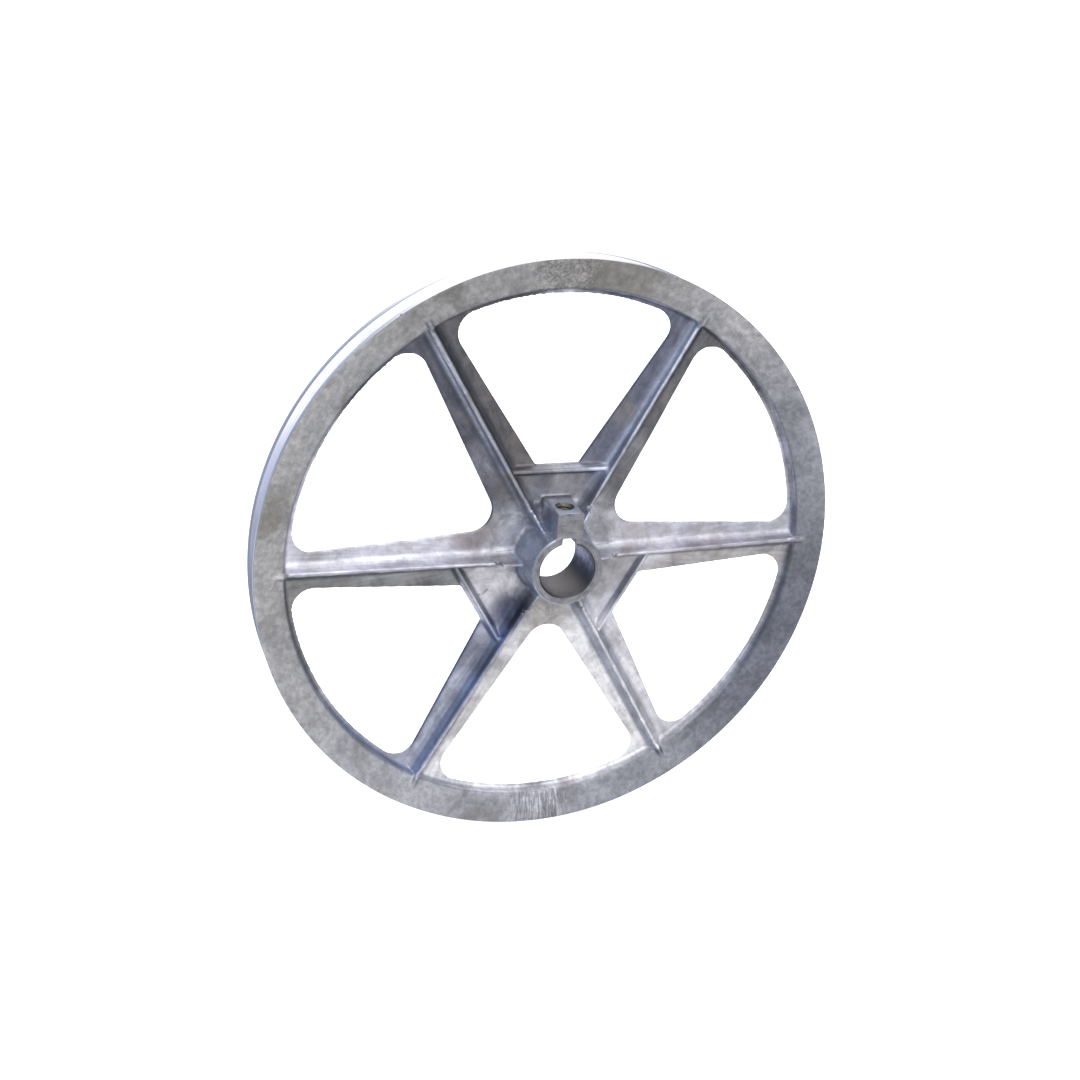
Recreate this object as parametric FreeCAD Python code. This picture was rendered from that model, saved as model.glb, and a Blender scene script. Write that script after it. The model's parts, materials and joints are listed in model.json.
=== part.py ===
import FreeCAD, Part
import math
import os

# Six-spoke cast aluminium V-belt pulley with a keyed hub and one set screw.
#
# Frame, in millimetres: the bore runs along Y, the hub's long side faces -Y (the front),
# +Z is up through the set screw's boss, and the origin is on the bore axis at the rim's mid-plane.

INCH = 25.4
V = FreeCAD.Vector
AXIS_Y = V(0, 1, 0)
CENTRE = V(0, 0, 0)

# ---- rim and belt groove -------------------------------------------------------------------
rim_radius = 10.75 * INCH / 2
rim_width = 0.75 * INCH
rim_front = -rim_width / 2
rim_back = rim_width / 2
groove_half_angle = 19.0
groove_top_width = 12.6
groove_depth = 12.4
groove_corner_radius = 1.0
face_cone_angle = 17.5              # slope of the rim's dished side faces
front_face_inner_radius = 122.8
back_face_inner_radius = 126.0
rim_edge_round = 0.5
front_inner_round = 0.7
back_inner_round = 1.0
rim_base_radius = 122.6             # inner wall under the groove's floor
rim_root_fillet = 1.9               # between that wall and the web lip's front
rim_root_reach = 2.1                # how far in from that wall the fillet's ring goes

# ---- web: the flat plate that holds the spokes, the hub plate and the lip under the rim ----
web_front = -1.0
web_back = 1.6
web_outer_radius = 123.4
lip_radius_front = 120.0
lip_radius_back = 122.2
spoke_count = 6
spoke_near_radius = 47.8
spoke_near_half_width = 12.3
spoke_taper = 0.0632                # half width lost per millimetre of radius
open_window_fillet = 10.0
window_rim_fillet = 9.5
plate_edge_distance = 43.2          # straight outer edge of the three stiffened hub plates
plate_corner_fillet = 1.2
open_window_angles = (30, 150, 270)
plate_window_angles = (90, 210, 330)

# ---- hub -----------------------------------------------------------------------------------
bore_radius = 1.0 * INCH / 2
bore_chamfer = 0.6
hub_front = -21.925
hub_length = 1.0 * INCH
hub_back = hub_front + hub_length
hub_front_radius = 16.5
hub_root_radius = 18.3
hub_back_radius = 18.0
hub_root_fillet = 1.8
hub_skirt = 7.2                     # thin ring under the web's face that carries the root fillet
hub_back_flare = 1.0
hub_edge_round = 0.5
keyway_width = 0.25 * INCH
keyway_depth = 0.125 * INCH
keyway_roof = math.sqrt(bore_radius ** 2 - (keyway_width / 2) ** 2) + keyway_depth

# ---- ribs ----------------------------------------------------------------------------------
rib_half_width_root = 1.35
rib_draft = 3.5
rib_root_fillet = 4.6
rib_top_near = (25.0, -9.0)         # radius and Y of the rib's top near the hub
rib_top_far = (122.8, -5.1)         # and where it meets the rim
rib_inner_radius = 8.0              # inside the hub, where the bore cuts it away
rib_outer_radius = 123.2
rib_slab_half_width = 20.0
bar_end_radius = 27.5               # the rib's taller stretch beside the hub ends here
bar_end_run = 0.8
notch_end_radius = 28.9             # a short notch in the rib's top, just outside that stretch
notch_floor_y = -7.5
bar_top_inner = -12.2
bar_top_outer = -11.0
back_rib_height = 1.5
back_rib_draft = 20.0
back_rib_fillet = 1.0
back_rib_half_width = 2.2
back_rib_inner_radius = 17.0
cross_rib_base = (39.2, 43.2)       # inner and outer distance from the axis
cross_rib_top = (40.4, 42.0)
cross_rib_top_y = -4.9
cross_rib_fillet = 1.8
cross_rib_top_round = 0.3
tick_start = 119.0
tick_end = 129.4
tick_height = 1.6                   # how far each rib's pointed end stands on the rim's face
tick_half_width = 1.4
tick_tip_half_width = 0.8
tick_top_share = 0.7                # its top is this much of its base's width
tick_peak_radius = 123.3
tick_end_sink = 0.15

# ---- set screw and its boss ----------------------------------------------------------------
boss_half_width_front = 6.2
boss_half_width_root = 6.8
boss_top_front = 27.2
boss_top_root = 28.2
boss_bottom = 10.0                  # inside the hub, where the bore cuts it away
boss_corner_round = 0.8
screw_y = -13.3
screw_radius = 0.25 * INCH / 2
screw_pitch = INCH / 20
screw_length = 0.375 * INCH
screw_tip_z = keyway_roof + 0.15
screw_thread_depth = 0.6
crest_flat_share = 0.1              # of the pitch, on each side of a thread's crest
screw_end_chamfer = 0.7
socket_across_flats = 0.125 * INCH
socket_depth = 4.2
cup_radius = 1.6
cup_depth = 0.8
hole_clearance = 0.075
hole_thread_depth = 0.4
hole_countersink = 0.75
boss_lean = (boss_top_root - boss_top_front) * (screw_y - hub_front) / (web_front - hub_front)

# ---- how far shapes sink into, or cut past, one another before they are joined or cut -------
sink = 0.4
overcut = 1.0


def rad(degrees):
    return math.radians(degrees)


def slope_of(degrees):
    return math.tan(math.radians(degrees))


def wire_face(edges):
    """A planar face from edges that follow one another."""
    return Part.Face(Part.Wire(edges))


def line(a, b):
    return Part.LineSegment(a, b).toShape()


def arc(a, through, b):
    return Part.Arc(a, through, b).toShape()


def round_corner(before, corner, after, radius):
    """Start, middle and end points of the arc that rounds a corner of an outline."""
    to_before = (before - corner).normalize()
    to_after = (after - corner).normalize()
    half = to_before.getAngle(to_after) / 2
    reach = radius / math.tan(half)
    start = corner + to_before * reach
    end = corner + to_after * reach
    bisector = (to_before + to_after).normalize()
    middle = corner + bisector * (radius / math.sin(half) - radius)
    return start, middle, end


def outline(points):
    """A closed face from (point, radius) pairs; a radius above zero rounds that corner."""
    count = len(points)
    pieces = []
    for index, (corner, radius) in enumerate(points):
        before = points[index - 1][0]
        after = points[(index + 1) % count][0]
        if radius > 0:
            pieces.append(round_corner(before, corner, after, radius))
        else:
            pieces.append((corner, None, corner))
    edges = []
    for index, (start, middle, end) in enumerate(pieces):
        if middle is not None:
            edges.append(arc(start, middle, end))
        next_start = pieces[(index + 1) % count][0]
        if end.distanceToPoint(next_start) > 1e-6:
            edges.append(line(end, next_start))
    return wire_face(edges)


def revolved(points):
    """A ring about the bore axis from (radius, y, corner radius) triples."""
    face = outline([(V(r, y, 0), corner) for r, y, corner in points])
    return face.revolve(CENTRE, AXIS_Y, 360)


def turned(shape, degrees):
    """A copy turned about the bore axis; positive goes from +X up towards +Z."""
    copy = shape.copy()
    copy.rotate(CENTRE, AXIS_Y, -degrees)
    return copy


def rim():
    groove_wall = groove_depth * slope_of(groove_half_angle)
    half_top = groove_top_width / 2
    half_floor = half_top - groove_wall
    floor_radius = rim_radius - groove_depth
    front_drop = (rim_radius - front_face_inner_radius) * slope_of(face_cone_angle)
    back_drop = (rim_radius - back_face_inner_radius) * slope_of(face_cone_angle)
    return revolved([
        (rim_radius, rim_front, rim_edge_round),
        (rim_radius, -half_top, rim_edge_round),
        (floor_radius, -half_floor, groove_corner_radius),
        (floor_radius, half_floor, groove_corner_radius),
        (rim_radius, half_top, rim_edge_round),
        (rim_radius, rim_back, rim_edge_round),
        (back_face_inner_radius, rim_back - back_drop, back_inner_round),
        (rim_base_radius, web_back, 0),
        (rim_base_radius, web_front + sink, 0),
        (rim_base_radius - rim_root_reach, web_front + sink, 0),
        (rim_base_radius - rim_root_reach, web_front, 0),
        (rim_base_radius, web_front, rim_root_fillet),
        (front_face_inner_radius, rim_front + front_drop, front_inner_round),
    ])


def spoke_half_width(radius):
    return spoke_near_half_width - spoke_taper * (radius - spoke_near_radius)


def spoke_edge_point(radius):
    """A point on the edge of the spoke that lies 30 degrees above a window's middle line."""
    half = rad(180 / spoke_count)
    width = spoke_half_width(radius)
    across = radius * math.cos(half) + width * math.sin(half)
    up = radius * math.sin(half) - width * math.cos(half)
    return across, up


def window_wire(y, outer_radius, straight_inner_edge):
    """One window's outline at height y, its middle line along +X."""
    x1, z1 = spoke_edge_point(50.0)
    x2, z2 = spoke_edge_point(100.0)
    slope = (z2 - z1) / (x2 - x1)
    angle = math.atan(slope)
    apex = x1 - z1 / slope

    # fillet where the spoke's edge meets the rim: inside both the line and the circle
    def line_offset(x, z):
        return (z - slope * (x - apex)) * math.cos(angle)

    low = 60.0
    high = outer_radius - window_rim_fillet
    reach = outer_radius - window_rim_fillet
    for _ in range(60):
        middle = (low + high) / 2
        height = math.sqrt(reach ** 2 - middle ** 2)
        if line_offset(middle, height) > -window_rim_fillet:
            low = middle
        else:
            high = middle
    cx = (low + high) / 2
    cz = math.sqrt(reach ** 2 - cx ** 2)
    on_line = V(cx - window_rim_fillet * math.sin(angle), y, cz + window_rim_fillet * math.cos(angle))
    on_rim = V(cx, 0, cz).normalize() * outer_radius
    on_rim.y = y
    bend = (V(on_line.x - cx, 0, on_line.z - cz) + V(on_rim.x - cx, 0, on_rim.z - cz)).normalize()
    through = V(cx + bend.x * window_rim_fillet, y, cz + bend.z * window_rim_fillet)

    def mirrored(p):
        return V(p.x, p.y, -p.z)

    if straight_inner_edge:
        corner = V(plate_edge_distance, y, slope * (plate_edge_distance - apex))
        start, middle, end = round_corner(mirrored(corner), corner, on_line, plate_corner_fillet)
        inner = [
            arc(mirrored(end), mirrored(middle), mirrored(start)),
            line(mirrored(start), start),
            arc(start, middle, end),
        ]
        edge_start = end
    else:
        centre_x = apex + open_window_fillet / math.sin(angle)
        edge_start = V(
            centre_x - open_window_fillet * math.sin(angle), y, open_window_fillet * math.cos(angle)
        )
        inner = [arc(mirrored(edge_start), V(centre_x - open_window_fillet, y, 0), edge_start)]
    return Part.Wire(inner + [
        line(edge_start, on_line),
        arc(on_line, through, on_rim),
        arc(on_rim, V(outer_radius, y, 0), mirrored(on_rim)),
        arc(mirrored(on_rim), mirrored(through), mirrored(on_line)),
        line(mirrored(on_line), mirrored(edge_start)),
    ])


def window(straight_inner_edge):
    """The solid that a window removes, wider at the back where the lip slopes away."""
    flare = (lip_radius_back - lip_radius_front) / (web_back - web_front)
    front = window_wire(web_front - sink, lip_radius_front - sink * flare, straight_inner_edge)
    back = window_wire(web_back + sink, lip_radius_back + sink * flare, straight_inner_edge)
    return Part.makeLoft([front, back], True, True)


def web():
    plate = Part.makeCylinder(web_outer_radius, web_back - web_front, V(0, web_front, 0), AXIS_Y)
    open_window = window(False)
    plate_window = window(True)
    for angle in open_window_angles:
        plate = plate.cut(turned(open_window, angle))
    for angle in plate_window_angles:
        plate = plate.cut(turned(plate_window, angle))
    return plate


def hub():
    return revolved([
        (0, hub_front, 0),
        (hub_front_radius, hub_front, hub_edge_round),
        (hub_root_radius, web_front, hub_root_fillet),
        (hub_root_radius + hub_skirt, web_front, 0),
        (hub_root_radius + hub_skirt, web_front + sink, 0),
        (hub_back_radius + hub_back_flare, web_back - sink, 0),
        (hub_back_radius, hub_back, hub_edge_round),
        (0, hub_back, 0),
    ])


def rib_section(x, half_width, draft, fillet, base, tip):
    """A rib's cross-section across +X at radius x: drafted flanks and fillets at its root."""
    direction = 1 if tip > base else -1
    sunk = base - sink * direction
    lean = abs(tip - base) * slope_of(draft)
    spread = half_width + fillet
    return outline([
        (V(x, sunk, -spread), 0),
        (V(x, base, -spread), 0),
        (V(x, base, -half_width), fillet),
        (V(x, tip, -half_width + lean), 0),
        (V(x, tip, half_width - lean), 0),
        (V(x, base, half_width), fillet),
        (V(x, base, spread), 0),
        (V(x, sunk, spread), 0),
    ])


def prism_above(points):
    """A slab that spans every rib's width, from a side view given as (radius, y) points."""
    face = outline([(V(r, y, -rib_slab_half_width), 0) for r, y in points])
    return face.extrude(V(0, 0, 2 * rib_slab_half_width))


def front_rib():
    """The tall thin rib down a spoke's middle, lower towards the rim, with a taller hub end."""
    tallest = bar_top_inner - overcut
    section = rib_section(
        rib_inner_radius, rib_half_width_root, rib_draft, rib_root_fillet, web_front, tallest
    )
    rib = section.extrude(V(rib_outer_radius - rib_inner_radius, 0, 0))
    near_r, near_y = rib_top_near
    far_r, far_y = rib_top_far
    fall = (far_y - near_y) / (far_r - near_r)
    above = prism_above([
        (rib_inner_radius - overcut, bar_top_inner),
        (hub_root_radius, bar_top_inner),
        (bar_end_radius - bar_end_run, bar_top_outer),
        (bar_end_radius, notch_floor_y),
        (notch_end_radius, notch_floor_y),
        (notch_end_radius, near_y + fall * (notch_end_radius - near_r)),
        (rib_outer_radius + overcut, near_y + fall * (rib_outer_radius + overcut - near_r)),
        (rib_outer_radius + overcut, tallest - overcut),
        (rib_inner_radius - overcut, tallest - overcut),
    ])
    return rib.cut(above)


def tick():
    """The rib's pointed end, standing on the rim's dished front face."""
    cone = slope_of(face_cone_angle)

    def face_y(radius):
        return rim_front + (rim_radius - radius) * cone

    def section(radius, half_width, height):
        base = face_y(radius) + overcut
        tip = face_y(radius) - height
        top = half_width * tick_top_share
        return Part.makePolygon([
            V(radius, base, -half_width), V(radius, tip, -top),
            V(radius, tip, top), V(radius, base, half_width),
            V(radius, base, -half_width),
        ])

    start = section(tick_start, tick_half_width, -tick_end_sink)
    peak = section(tick_peak_radius, tick_half_width, tick_height)
    point = section(tick_end, tick_tip_half_width, -tick_end_sink)
    body = Part.makeLoft([start, peak], True, True)
    end = Part.makeLoft([peak, point], True, True)
    return body.fuse(end)


def back_rib():
    section = rib_section(
        back_rib_inner_radius, back_rib_half_width, back_rib_draft, back_rib_fillet,
        web_back, web_back + back_rib_height
    )
    return section.extrude(V(rib_outer_radius - back_rib_inner_radius, 0, 0))


def cross_rib():
    """The bead along a hub plate's straight edge, from one spoke's rib to the next."""
    inner, outer = cross_rib_base
    top_inner, top_outer = cross_rib_top
    half_length = inner * slope_of(180 / spoke_count)
    face = outline([
        (V(inner - 2 * cross_rib_fillet, web_front + sink, -half_length), 0),
        (V(inner - 2 * cross_rib_fillet, web_front, -half_length), 0),
        (V(inner, web_front, -half_length), cross_rib_fillet),
        (V(top_inner, cross_rib_top_y, -half_length), cross_rib_top_round),
        (V(top_outer, cross_rib_top_y, -half_length), cross_rib_top_round),
        (V(outer, web_front + sink, -half_length), 0),
    ])
    return face.extrude(V(0, 0, 2 * half_length))


def boss_outline(y, half_width, top):
    return outline([
        (V(-half_width, y, boss_bottom), 0),
        (V(half_width, y, boss_bottom), 0),
        (V(half_width, y, top), boss_corner_round),
        (V(-half_width, y, top), boss_corner_round),
    ]).OuterWire


def boss():
    """The block beside the hub that takes the set screw, flush with the hub's front face."""
    front = boss_outline(hub_front, boss_half_width_front, boss_top_front)
    root = boss_outline(web_front + sink, boss_half_width_root, boss_top_root)
    return Part.makeLoft([front, root], True, True)


def bore_and_keyway():
    """What the reamed bore, its end chamfers and the broached keyway take away."""
    past = bore_radius + bore_chamfer + overcut
    bore = revolved([
        (0, hub_front - overcut, 0),
        (past, hub_front - overcut, 0),
        (bore_radius, hub_front + bore_chamfer, 0),
        (bore_radius, hub_back - bore_chamfer, 0),
        (past, hub_back + overcut, 0),
        (0, hub_back + overcut, 0),
    ])
    key = Part.makeBox(
        keyway_width, hub_length + 2 * overcut, keyway_roof,
        V(-keyway_width / 2, hub_front - overcut, 0)
    )
    return bore.fuse(key)


def threaded_profile(crest, depth, low, high, inner):
    """A zigzag side view at the screw's pitch, as (radius, z) points from low to high."""
    turns = int((high - low) / screw_pitch)
    first = low + ((high - low) - turns * screw_pitch) / 2
    points = [(inner, low), (crest, low)]
    for turn in range(turns):
        z = first + turn * screw_pitch
        points.append((crest, z + crest_flat_share * screw_pitch))
        points.append((crest - depth, z + 0.5 * screw_pitch))
        points.append((crest, z + (1 - crest_flat_share) * screw_pitch))
    points.append((crest, high))
    points.append((inner, high))
    return points


def revolved_about_screw(points):
    corners = [V(r, screw_y, z) for r, z in points]
    face = Part.Face(Part.makePolygon(corners + [corners[0]]))
    return face.revolve(V(0, screw_y, 0), V(0, 0, 1), 360)


def tapped_hole():
    """The hole through the boss into the keyway, its thread grooves wider than the screw."""
    radius = screw_radius + hole_clearance
    top = boss_top_root + overcut
    bottom = keyway_roof - overcut
    hole = revolved_about_screw(
        threaded_profile(radius, -hole_thread_depth, bottom, top, 0)
    )
    rise = top - boss_top_front
    mouth = Part.makeCone(
        radius, radius + hole_countersink + rise, hole_countersink + rise,
        V(0, screw_y, boss_top_front - hole_countersink + boss_lean), V(0, 0, 1)
    )
    return hole.fuse(mouth)


def pulley_wheel():
    ribs = []
    for index in range(spoke_count):
        angle = index * 360 / spoke_count
        ribs.append(turned(front_rib(), angle))
        ribs.append(turned(back_rib(), angle))
        ribs.append(turned(tick(), angle))
    for angle in plate_window_angles:
        ribs.append(turned(cross_rib(), angle))
    casting = web().fuse([hub(), boss()] + ribs + [rim()])
    casting = casting.cut(bore_and_keyway())
    casting = casting.cut(tapped_hole())
    return casting.removeSplitter()


def set_screw():
    """A cup-point socket set screw, its thread drawn as grooves at the real pitch."""
    low = screw_tip_z
    high = low + screw_length
    profile = threaded_profile(
        screw_radius, screw_thread_depth, low + screw_end_chamfer, high - screw_end_chamfer, 0
    )
    ends = [(screw_radius - screw_end_chamfer, high), (0, high), (0, low)]
    body = revolved_about_screw(
        [(screw_radius - screw_end_chamfer, low)] + profile[1:-1] + ends
    )
    corner_radius = socket_across_flats / 2 / math.cos(rad(30))
    hexagon = Part.makePolygon([
        V(corner_radius * math.cos(rad(60 * i)), screw_y + corner_radius * math.sin(rad(60 * i)), high)
        for i in range(7)
    ])
    socket = Part.Face(hexagon).extrude(V(0, 0, -socket_depth))
    cup = Part.makeCone(cup_radius, 0.0, cup_depth, V(0, screw_y, low), V(0, 0, 1))
    return body.cut(socket).cut(cup)


def main():
    os.makedirs("parts", exist_ok=True)
    for name, shape in (("pulley_wheel", pulley_wheel()), ("set_screw", set_screw())):
        solids = shape.Solids
        single = solids[0] if len(solids) == 1 else Part.makeCompound(solids)
        single.exportStep("parts/" + name + ".step")
        box = single.BoundBox
        print(name, "solids", len(solids), "valid", single.isValid(),
              "volume %.0f" % single.Volume, "x %.2f %.2f" % (box.XMin, box.XMax),
              "y %.2f %.2f" % (box.YMin, box.YMax), "z %.2f %.2f" % (box.ZMin, box.ZMax))


main()
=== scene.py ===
import json
import math

import bmesh
import bpy
import numpy as np
from mathutils import Matrix, Vector, noise


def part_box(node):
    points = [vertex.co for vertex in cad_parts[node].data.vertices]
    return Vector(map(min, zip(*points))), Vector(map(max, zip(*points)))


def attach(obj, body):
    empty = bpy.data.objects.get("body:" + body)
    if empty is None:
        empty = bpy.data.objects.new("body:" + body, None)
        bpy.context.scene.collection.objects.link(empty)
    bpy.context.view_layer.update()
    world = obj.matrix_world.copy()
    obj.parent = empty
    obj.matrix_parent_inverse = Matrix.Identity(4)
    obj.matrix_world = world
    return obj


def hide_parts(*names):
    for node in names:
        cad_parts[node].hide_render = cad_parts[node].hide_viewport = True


# A six-spoke cast aluminium V-belt pulley with one socket set screw.
# Row frame, in metres: bore along Y, hub's long side towards -Y, +Z up through the set screw.

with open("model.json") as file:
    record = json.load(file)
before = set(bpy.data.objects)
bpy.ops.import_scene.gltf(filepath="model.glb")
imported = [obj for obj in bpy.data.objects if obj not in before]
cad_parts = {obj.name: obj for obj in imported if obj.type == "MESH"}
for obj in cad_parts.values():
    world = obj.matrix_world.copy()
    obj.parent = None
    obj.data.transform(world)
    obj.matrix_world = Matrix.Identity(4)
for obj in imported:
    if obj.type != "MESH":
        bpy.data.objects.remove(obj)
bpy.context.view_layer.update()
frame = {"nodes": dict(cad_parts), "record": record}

MM = 0.001
INCH = 25.4 * MM
mounts = {m["name"]: m for m in frame["record"]["mounts"]}
wheel_low, wheel_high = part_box("pulley_wheel")
screw_low, screw_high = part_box("set_screw")

# ---- dimensions, read from the frame where it holds them ------------------------------------
rim_radius = wheel_high.x
hub_front = wheel_low.y
hub_back = mounts["hub_back_face"]["pos_m"][1]
bore_radius = mounts["shaft_bore"]["dims"]["r_mm"] * MM
rim_half_width = 0.375 * INCH
face_cone_slope = math.tan(math.radians(17.5))
groove_slope = math.tan(math.radians(19.0))
groove_half_top = 6.3 * MM
groove_depth = 12.4 * MM
groove_floor_round = 1.0 * MM
machined_edge_break = 0.3 * MM
hub_front_radius = 16.5 * MM
hub_root_radius = 18.2 * MM
web_front = -1.0 * MM
web_back = 1.6 * MM
keyway_half_width = 0.125 * INCH
keyway_roof = math.sqrt(bore_radius ** 2 - keyway_half_width ** 2) + 0.125 * INCH
bore_chamfer = 0.6 * MM
boss_half_width = 6.15 * MM
boss_bottom = 10.0 * MM
boss_top = 27.15 * MM
hub_pad_radius = 27.6 * MM          # a faint step in the web, left by the die's hub insert
hub_pad_height = 0.22 * MM
stock = 1.0 * MM                    # what machining takes off the rough casting
voxel = 0.48 * MM
casting_triangles = 176000          # the cutters add some; the export thins a piece over 200,000
back_gap = 0.03 * MM                # the cast skin's waves stay this far inside the CAD's back

screw_y = (screw_low.y + screw_high.y) / 2
screw_radius = (screw_high.x - screw_low.x) / 2
screw_pitch = INCH / 20
screw_thread_depth = 0.62 * MM
hole_radius = screw_radius + 0.075 * MM
hole_thread_depth = 0.4 * MM
hole_countersink = 0.7 * MM
socket_across_flats = 0.125 * INCH
socket_depth = 4.2 * MM

ring_steps = 360
arc_steps = 5
casting_smooth_angle = 32           # degrees; an edge sharper than this is not smoothed over
screw_smooth_angle = 28


# ---- mesh helpers ----------------------------------------------------------------------------
def new_object(name, mesh):
    made = bpy.data.objects.new(name, mesh)
    bpy.context.scene.collection.objects.link(made)
    return made


def object_from(name, points, faces):
    mesh = bpy.data.meshes.new(name)
    mesh.from_pydata(points, [], faces)
    work = bmesh.new()
    work.from_mesh(mesh)
    bmesh.ops.recalc_face_normals(work, faces=work.faces)
    work.to_mesh(mesh)
    work.free()
    return new_object(name, mesh)


def drop(obj):
    mesh = obj.data
    bpy.data.objects.remove(obj)
    bpy.data.meshes.remove(mesh)


def apply_modifiers(obj):
    """Replaces obj's mesh with its evaluated mesh and clears its modifiers."""
    depsgraph = bpy.context.evaluated_depsgraph_get()
    made = bpy.data.meshes.new_from_object(obj.evaluated_get(depsgraph))
    old = obj.data
    obj.modifiers.clear()
    obj.data = made
    bpy.data.meshes.remove(old)


def rounded(profile):
    """(radius, y) points from (radius, y, corner radius) triples, each round corner as an arc."""
    points = []
    count = len(profile)
    for index, (r, y, bend) in enumerate(profile):
        corner = Vector((r, y))
        if bend == 0:
            points.append(corner)
            continue
        before = (Vector(profile[index - 1][:2]) - corner).normalized()
        after = (Vector(profile[(index + 1) % count][:2]) - corner).normalized()
        half = before.angle(after) / 2
        start = corner + before * bend / math.tan(half)
        end = corner + after * bend / math.tan(half)
        centre = corner + (before + after).normalized() * bend / math.sin(half)
        for step in range(arc_steps + 1):
            share = step / arc_steps
            spoke = (start - centre).lerp(end - centre, share).normalized()
            points.append(centre + spoke * bend)
    return points


def turned_ring(name, profile):
    """A closed ring about the bore axis from a closed profile of (radius, y, corner) triples."""
    outline = rounded(profile)
    count = len(outline)
    points = []
    faces = []
    for step in range(ring_steps):
        angle = 2 * math.pi * step / ring_steps
        points += [(r * math.cos(angle), y, r * math.sin(angle)) for r, y in outline]
        here = step * count
        there = (step + 1) % ring_steps * count
        for index in range(count):
            following = (index + 1) % count
            faces.append((here + index, here + following, there + following, there + index))
    return object_from(name, points, faces)


def turned_solid(name, profile):
    """A solid about the bore axis; the profile runs from one end's edge to the other's."""
    outline = rounded(profile)
    count = len(outline)
    points = [(0, outline[0][1], 0), (0, outline[-1][1], 0)]
    faces = []
    for step in range(ring_steps):
        angle = 2 * math.pi * step / ring_steps
        points += [(r * math.cos(angle), y, r * math.sin(angle)) for r, y in outline]
        here = 2 + step * count
        there = 2 + (step + 1) % ring_steps * count
        for index in range(count - 1):
            faces.append((here + index, here + index + 1, there + index + 1, there + index))
        faces.append((0, here, there))
        faces.append((1, here + count - 1, there + count - 1))
    return object_from(name, points, faces)


def block(name, low, high):
    corners = [(x, y, z) for x in (low[0], high[0]) for y in (low[1], high[1]) for z in (low[2], high[2])]
    faces = [(0, 1, 3, 2), (4, 6, 7, 5), (0, 4, 5, 1), (2, 3, 7, 6), (0, 2, 6, 4), (1, 5, 7, 3)]
    return object_from(name, corners, faces)


def joined(name, objects):
    """One object that holds copies of the meshes of several, which are removed."""
    work = bmesh.new()
    for obj in objects:
        work.from_mesh(obj.data)
    mesh = bpy.data.meshes.new(name)
    work.to_mesh(mesh)
    work.free()
    for obj in objects:
        drop(obj)
    return new_object(name, mesh)


def cut(obj, cutter):
    """Takes cutter's solid out of obj; the faces this leaves carry the cutter's material."""
    step = obj.modifiers.new("cut", "BOOLEAN")
    step.operation = "DIFFERENCE"
    step.solver = "MANIFOLD"
    step.object = cutter
    step.material_mode = "TRANSFER"
    apply_modifiers(obj)
    drop(cutter)


def threaded_column(name, crest, depth, low, high, ends, steps_round=72, steps_per_turn=16):
    """A helical-threaded solid along Z at the set screw's place.

    ends holds the plain (radius, z) rows below the thread and those above it.
    """
    below, above = ends
    crest_flat = 0.1                # shares of half a pitch
    flank_length = 0.75
    rows = int(round((high - low) / screw_pitch * steps_per_turn))
    rings = [(None, low + (high - low) * row / rows) for row in range(rows + 1)]
    rings = below + rings + above
    points = []
    for radius, z in rings:
        for step in range(steps_round):
            angle = 2 * math.pi * step / steps_round
            r = radius
            if r is None:
                phase = (z / screw_pitch - step / steps_round) % 1
                flank = min(1, max(0, (abs(phase - 0.5) * 2 - crest_flat) / flank_length))
                r = crest - depth * (1 - flank)
            points.append((r * math.cos(angle), screw_y + r * math.sin(angle), z))
    faces = []
    for row in range(len(rings) - 1):
        for step in range(steps_round):
            following = (step + 1) % steps_round
            a = row * steps_round
            b = a + steps_round
            faces.append((a + step, a + following, b + following, b + step))
    last = (len(rings) - 1) * steps_round
    faces.append(tuple(range(steps_round)))
    faces.append(tuple(range(last, last + steps_round)))
    return object_from(name, points, faces)


# ---- the casting ------------------------------------------------------------------------------
def rough_casting():
    """The wheel with stock over every surface that is machined later."""
    wheel = new_object("rough", frame["nodes"]["pulley_wheel"].data.copy())
    wheel.data.materials.clear()
    front_draft = 0.08 * MM
    back_draft = 0.3 * MM
    root_height = 0.5 * MM
    hub_stock = turned_solid("hub_stock", [
        (hub_front_radius - front_draft, hub_front - stock, 0),
        (hub_root_radius, web_front - root_height, 0),
        (hub_root_radius, web_back, 0),
        (hub_root_radius - back_draft, hub_back + stock, 0),
    ])
    boss_stock = block(
        "boss_stock",
        (-boss_half_width, hub_front - stock, boss_bottom),
        (boss_half_width, web_front, boss_top),
    )
    inner = rim_radius - groove_depth
    outer = rim_radius + stock
    under_skin = 0.05 * MM
    outer_half = rim_half_width + stock * face_cone_slope - under_skin
    floor_half = 2.0 * MM
    rim_stock = turned_ring("rim_stock", [
        (inner, -floor_half, 0),
        (outer, -outer_half, 0),
        (outer, outer_half, 0),
        (inner, floor_half, 0),
    ])
    return joined("pulley_casting", [wheel, hub_stock, boss_stock, rim_stock])


def soften(obj):
    """One even skin over the rough casting, with the rounded edges of a die casting."""
    remesh = obj.modifiers.new("skin", "REMESH")
    remesh.mode = "VOXEL"
    remesh.voxel_size = voxel
    smooth = obj.modifiers.new("smooth", "SMOOTH")
    smooth.iterations = 8
    smooth.factor = 0.5
    apply_modifiers(obj)


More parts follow.
